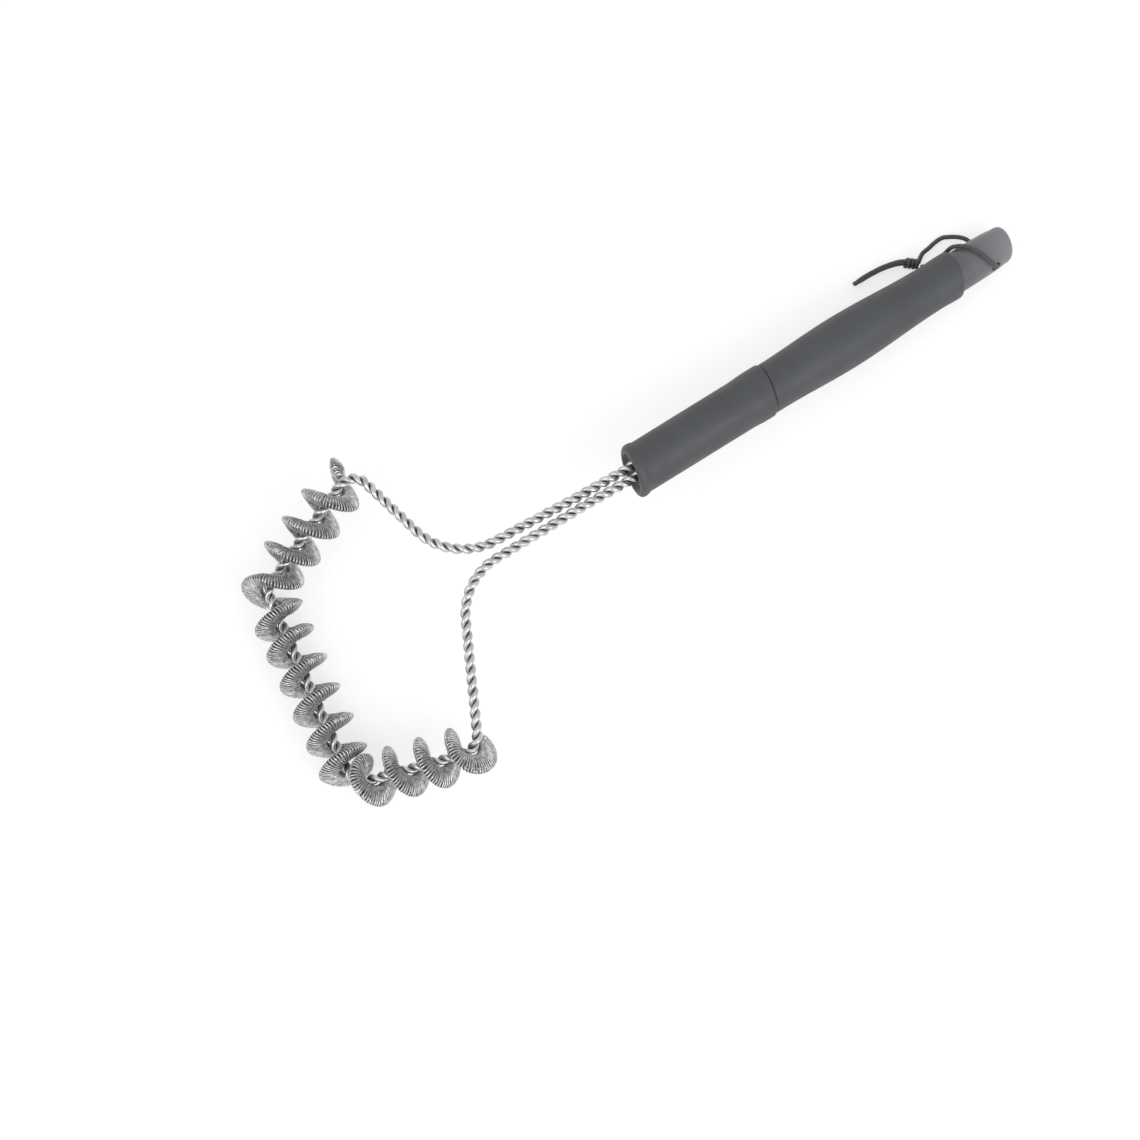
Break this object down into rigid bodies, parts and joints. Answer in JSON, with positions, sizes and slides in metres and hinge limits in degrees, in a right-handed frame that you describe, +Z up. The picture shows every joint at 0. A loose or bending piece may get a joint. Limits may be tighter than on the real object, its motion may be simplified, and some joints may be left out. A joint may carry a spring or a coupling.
{
  "type": "bristle-free grill cleaning brush",
  "caption": "Bristle-free grill brush: twisted-wire loop head with a coiled scrubbing spring on its front and flanks, a two-run twisted shaft and a ringed plastic handle with a hanging cord.",
  "frame": {"origin": "centre of the footprint on the surface the brush lies on", "axes": "+X from the head to the rounded handle end, +Y towards the upper flank of the loop, +Z up"},
  "size_m": [0.4187, 0.1626, 0.0437],
  "materials": {
    "wire_steel": "bright drawn galvanised wire",
    "spring_steel": "satin spring wire",
    "ferrule_steel": "pressed satin steel",
    "pin_steel": "ground pin",
    "core_plastic": "moulded matte",
    "grip_plastic": "fine-grained matte",
    "cap_plastic": "fine-grained satin",
    "cord_thong": "dark waxed thong"
  },
  "bodies": {
    "root": {"stem_wire_a": "wire_steel", "stem_wire_b": "wire_steel", "scrub_coil": "spring_steel", "wire_ferrule": "ferrule_steel", "cross_pin": "pin_steel", "handle_core": "core_plastic", "front_sleeve": "grip_plastic", "grip_sleeve": "grip_plastic", "end_cap": "cap_plastic", "hang_cord": "cord_thong", "cord_knot": "cord_thong", "cord_tails": "cord_thong"}
  },
  "joints": []
}
